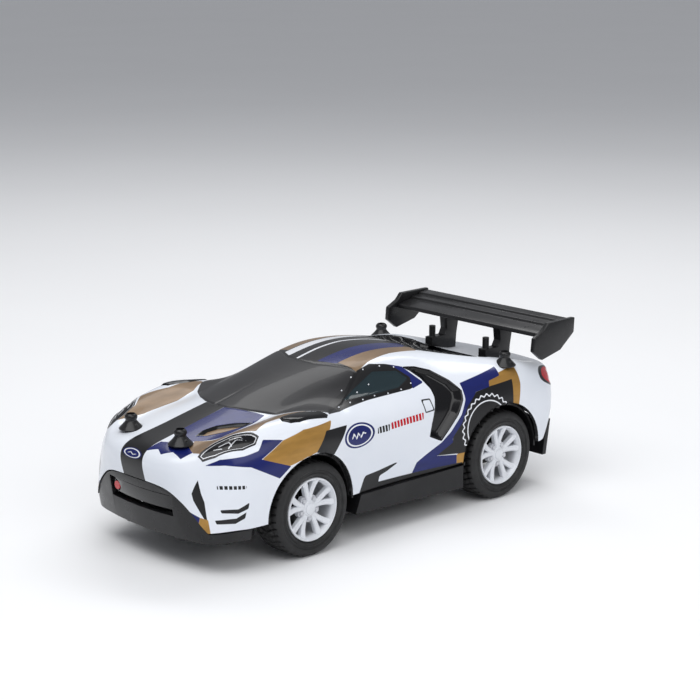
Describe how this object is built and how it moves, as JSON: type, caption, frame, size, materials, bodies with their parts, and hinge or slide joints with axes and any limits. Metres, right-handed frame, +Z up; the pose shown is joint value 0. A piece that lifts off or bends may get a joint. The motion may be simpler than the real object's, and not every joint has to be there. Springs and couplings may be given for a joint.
{
  "type": "remote control car",
  "caption": "Toy radio-controlled race car with a printed body shell, steered front wheels, geared rear axle, battery bay and rear wing.",
  "frame": {"origin": "centre of the whole car's box, on the ground under the tyres", "axes": "+X forward, +Y to the car's left, +Z up; the wheels spin about Y"},
  "size_m": [0.1793, 0.0782, 0.0629],
  "materials": {
    "printed_shell": "thin glossy white shell with printed blue, gold and black graphics",
    "satin_black_trim": "satin black moulding",
    "black_plastic": "matt black moulding with a fine texture",
    "tyre_rubber": "matt soft rubber with a tread",
    "white_rim": "semi-gloss white moulding",
    "steel": "bright plated steel",
    "brass": "turned brass",
    "white_nylon": "natural nylon",
    "smoked_lens": "dark smoked gloss",
    "red_lamp": "clear red lamp",
    "circuit_board": "green solder mask",
    "cell_wrap": "plain dark cell wrap"
  },
  "bodies": {
    "car": {"body_shell": "printed_shell", "chassis": "black_plastic", "front_bumper": "satin_black_trim", "grille_lens": "smoked_lens", "red_lamp": "red_lamp", "rear_diffuser": "black_plastic", "wing_blade": "satin_black_trim", "wing_endplate_left": "satin_black_trim", "wing_endplate_right": "satin_black_trim", "wing_upright_left": "satin_black_trim", "wing_upright_right": "satin_black_trim", "post_cap_front_left": "black_plastic", "post_cap_front_right": "black_plastic", "post_cap_rear_left": "black_plastic", "post_cap_rear_right": "black_plastic", "arch_liner_front_left": "black_plastic", "arch_liner_front_right": "black_plastic", "arch_liner_rear_left": "black_plastic", "arch_liner_rear_right": "black_plastic", "gearbox_case_left": "black_plastic", "gearbox_case_right": "black_plastic", "motor_can": "steel", "idler_shaft": "steel", "axle_bush_left": "brass", "axle_bush_right": "brass", "battery_cell_left": "cell_wrap", "battery_cell_middle": "cell_wrap", "battery_cell_right": "cell_wrap", "contact_spring_left": "steel", "contact_spring_middle": "steel", "contact_spring_right": "steel", "contact_plate_front": "steel", "contact_plate_rear": "steel", "receiver_board": "circuit_board", "steering_motor": "steel", "steering_frame": "black_plastic", "power_switch_body": "black_plastic"},
    "left_knuckle": {"steering_knuckle_left": "black_plastic"},
    "right_knuckle": {"steering_knuckle_right": "black_plastic"},
    "front_left_wheel": {"tyre_front_left": "tyre_rubber", "rim_front_left": "white_rim"},
    "front_right_wheel": {"tyre_front_right": "tyre_rubber", "rim_front_right": "white_rim"},
    "rear_axle_set": {"rear_axle": "steel", "axle_gear": "white_nylon", "tyre_rear_left": "tyre_rubber", "tyre_rear_right": "tyre_rubber", "rim_rear_left": "white_rim", "rim_rear_right": "white_rim"},
    "idler": {"idler_gear": "white_nylon"},
    "drive_pinion": {"motor_pinion": "brass", "motor_shaft": "steel"},
    "tie_rod": {"tie_rod": "white_nylon"},
    "steering_gear": {"steering_gear": "white_nylon"},
    "battery_door": {"battery_door": "black_plastic", "battery_screw": "steel"},
    "power_switch": {"power_switch_knob": "black_plastic"},
    "trim_lever": {"steering_trim_lever": "black_plastic"}
  },
  "joints": [
    {"name": "steer_left", "type": "hinge", "parent": "car", "child": "left_knuckle", "pos_m": [0.0427, 0.027, 0.0165], "axis": [0, 0, 1], "range_deg": [-15, 15]},
    {"name": "steer_right", "type": "hinge", "parent": "car", "child": "right_knuckle", "pos_m": [0.0427, -0.027, 0.0165], "axis": [0, 0, 1], "range_deg": [-15, 15]},
    {"name": "tie_rod_slide", "type": "slide", "parent": "car", "child": "tie_rod", "axis": [0, 1, 0], "range_m": [-0.0016, 0.0016]},
    {"name": "steering_gear_turn", "type": "hinge", "parent": "car", "child": "steering_gear", "pos_m": [0.0309, 0, 0.012], "axis": [0, 0, 1], "range_deg": [-30.5, 30.5]},
    {"name": "front_left_wheel_spin", "type": "hinge", "parent": "left_knuckle", "child": "front_left_wheel", "pos_m": [0.0427, 0.0315, 0.0165], "axis": [0, 1, 0], "continuous": true},
    {"name": "front_right_wheel_spin", "type": "hinge", "parent": "right_knuckle", "child": "front_right_wheel", "pos_m": [0.0427, -0.0315, 0.0165], "axis": [0, 1, 0], "continuous": true},
    {"name": "rear_axle_spin", "type": "hinge", "parent": "car", "child": "rear_axle_set", "pos_m": [-0.0513, 0, 0.0165], "axis": [0, 1, 0], "continuous": true},
    {"name": "idler_spin", "type": "hinge", "parent": "car", "child": "idler", "pos_m": [-0.06023, 0.009, 0.01975], "axis": [0, 1, 0], "continuous": true},
    {"name": "drive_pinion_spin", "type": "hinge", "parent": "car", "child": "drive_pinion", "pos_m": [-0.07013, 0.009, 0.02114], "axis": [0, 1, 0], "continuous": true},
    {"name": "battery_door_open", "type": "hinge", "parent": "car", "child": "battery_door", "pos_m": [0.0238, 0, 0.008], "axis": [0, -1, 0], "range_deg": [0, 80]},
    {"name": "power_switch_slide", "type": "slide", "parent": "car", "child": "power_switch", "axis": [0, -1, 0], "range_m": [0, 0.003]},
    {"name": "steering_trim_turn", "type": "hinge", "parent": "car", "child": "trim_lever", "pos_m": [0.0487, 0, 0.007], "axis": [0, 0, 1], "range_deg": [-15, 15]}
  ],
  "couplings": [
    {"joint": "steer_right", "follows": "steer_left", "ratio": 1},
    {"joint": "tie_rod_slide", "follows": "steer_left", "m_per_rad": -0.006},
    {"joint": "steering_gear_turn", "follows": "steer_left", "ratio": -2},
    {"joint": "idler_spin", "follows": "rear_axle_spin", "ratio": -2.1667},
    {"joint": "drive_pinion_spin", "follows": "rear_axle_spin", "ratio": 6.5}
  ]
}
